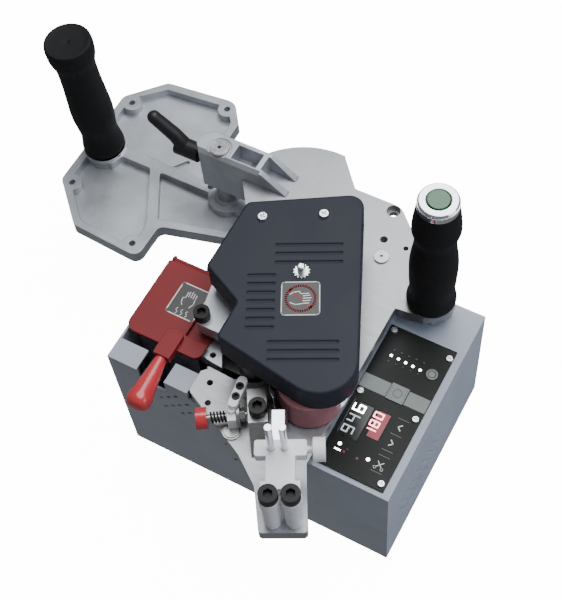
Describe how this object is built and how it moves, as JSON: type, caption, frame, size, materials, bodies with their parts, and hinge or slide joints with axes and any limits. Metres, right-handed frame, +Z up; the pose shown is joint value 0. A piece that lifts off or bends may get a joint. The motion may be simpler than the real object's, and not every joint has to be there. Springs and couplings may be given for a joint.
{
  "type": "edge banding machine",
  "caption": "Portable hot-melt edge banding machine with a stepped control box, aluminium deck, tape guide tongue, glue pot, covered gear drive and a side table on a clamped post.",
  "frame": {"origin": "middle of the housing's rectangular underside, on the surface it stands on", "axes": "+X to the right along the front, +Y to the back, +Z up"},
  "size_m": [0.3969, 0.3564, 0.276],
  "materials": {
    "housing_paint": "satin silver-grey powder coat",
    "deck_aluminium": "milled, fine tool marks",
    "cast_aluminium": "fine sand-cast, light blast",
    "steel": "ground steel",
    "zinc_screw": "bright zinc",
    "black_screw": "black oxide",
    "navy_cover": "fine-textured navy",
    "red_lid": "satin brick red",
    "red_gloss": "glossy red",
    "white_metal": "bright white coat",
    "white_plastic": "matte white",
    "grip_rubber": "matte black",
    "drum_rubber": "matte mauve",
    "green_button": "green",
    "chrome": "polished",
    "panel_film": "satin black film",
    "display_glass": "smoked window",
    "key_grey": "grey",
    "black_plastic": "matte black",
    "circuit_board": "solder mask",
    "bronze": "sintered bronze",
    "motor_black": "black enamel"
  },
  "bodies": {
    "machine": {"base_plate": "housing_paint", "front_panel": "housing_paint", "left_panel": "housing_paint", "rear_corner_panel": "housing_paint", "back_panel": "housing_paint", "mains_inlet": "black_plastic", "partition_panel": "housing_paint", "control_box_cover": "housing_paint", "panel_plate": "panel_film", "panel_screws": "zinc_screw", "control_board": "circuit_board", "displays": "display_glass", "main_deck": "deck_aluminium", "deck_pin": "steel", "gear_motor": "motor_black", "gearbox_screws": "black_screw", "bearings": "bronze", "gear_plate": "steel", "pillars": "steel", "top_cover": "navy_cover", "cover_screws": "zinc_screw", "cover_thumb_screw": "zinc_screw", "glue_pot": "cast_aluminium", "pot_heater": "steel", "pot_standoffs": "steel", "pot_cover": "red_lid", "lid_hinge_pin": "steel", "support_block": "cast_aluminium", "tape_bracket": "white_metal", "guide_posts": "white_metal", "tape_pins": "chrome", "socket_screws": "black_screw", "fence_bar": "steel", "guide_shoe": "chrome", "rod_spring": "black_screw", "rod_block": "white_plastic", "link_plate": "white_plastic", "hex_nuts": "steel", "right_grip": "grip_rubber", "right_grip_core": "chrome", "button_bezel": "chrome", "arm_bracket": "cast_aluminium"},
    "start_button": {"start_button": "green_button"},
    "strip_key": {"strip_key": "key_grey"},
    "power_key": {"power_key": "key_grey"},
    "drum": {"feed_drum": "drum_rubber", "drum_shaft": "steel"},
    "idler": {"idler_gear": "steel"},
    "pinion": {"motor_pinion": "steel"},
    "roller": {"glue_roller": "steel"},
    "table": {"table_plate": "cast_aluminium", "table_post": "steel", "left_grip": "grip_rubber", "left_grip_core": "chrome"},
    "lever": {"clamp_lever": "black_plastic"},
    "lid": {"glue_lid": "red_lid", "lid_handle": "red_gloss"},
    "adjuster": {"adjuster_knob": "red_gloss", "adjuster_rod": "steel"},
    "thumb_screw": {"bracket_thumb_screw": "white_plastic"}
  },
  "joints": [
    {"name": "start_press", "type": "slide", "parent": "machine", "child": "start_button", "axis": [0, 0, -1], "range_m": [0, 0.004], "stiffness_N_per_m": 500, "springref_m": -0.002},
    {"name": "strip_key_press", "type": "slide", "parent": "machine", "child": "strip_key", "axis": [0, 0, -1], "range_m": [0, 0.001], "stiffness_N_per_m": 600, "springref_m": -0.001},
    {"name": "power_key_press", "type": "slide", "parent": "machine", "child": "power_key", "axis": [0, 0, -1], "range_m": [0, 0.001], "stiffness_N_per_m": 600, "springref_m": -0.001},
    {"name": "drum_spin", "type": "hinge", "parent": "machine", "child": "drum", "pos_m": [0.037, -0.0495, 0.16], "axis": [0, 0, 1], "continuous": true},
    {"name": "idler_spin", "type": "hinge", "parent": "machine", "child": "idler", "pos_m": [0.01636, -0.02185, 0.16], "axis": [0, 0, 1], "continuous": true},
    {"name": "pinion_spin", "type": "hinge", "parent": "machine", "child": "pinion", "pos_m": [-0.01656, -0.01966, 0.16], "axis": [0, 0, 1], "continuous": true},
    {"name": "roller_spin", "type": "hinge", "parent": "machine", "child": "roller", "pos_m": [-0.0139, -0.042, 0.16], "axis": [0, 0, 1], "continuous": true},
    {"name": "table_height", "type": "slide", "parent": "machine", "child": "table", "axis": [0, 0, 1], "range_m": [-0.014, 0.012]},
    {"name": "clamp_turn", "type": "hinge", "parent": "machine", "child": "lever", "pos_m": [-0.1575, 0.111, 0.142], "axis": [-1, 0, 0], "range_deg": [0, 110]},
    {"name": "lid_open", "type": "hinge", "parent": "machine", "child": "lid", "pos_m": [-0.0845, 0.0095, 0.148], "axis": [-1, 0, 0], "range_deg": [0, 50]},
    {"name": "adjuster_turn", "type": "hinge", "parent": "machine", "child": "adjuster", "pos_m": [-0.0237, -0.1009, 0.1537], "axis": [0.8387, 0.5446, 0], "range_deg": [-360, 360]},
    {"name": "thumb_screw_turn", "type": "hinge", "parent": "machine", "child": "thumb_screw", "pos_m": [0.06946, -0.09479, 0.183], "axis": [0.8829, 0.4695, 0], "range_deg": [-360, 360]}
  ],
  "couplings": [
    {"joint": "idler_spin", "follows": "drum_spin", "ratio": -0.64286},
    {"joint": "pinion_spin", "follows": "drum_spin", "ratio": 1.125},
    {"joint": "roller_spin", "follows": "drum_spin", "ratio": -1.2857}
  ]
}
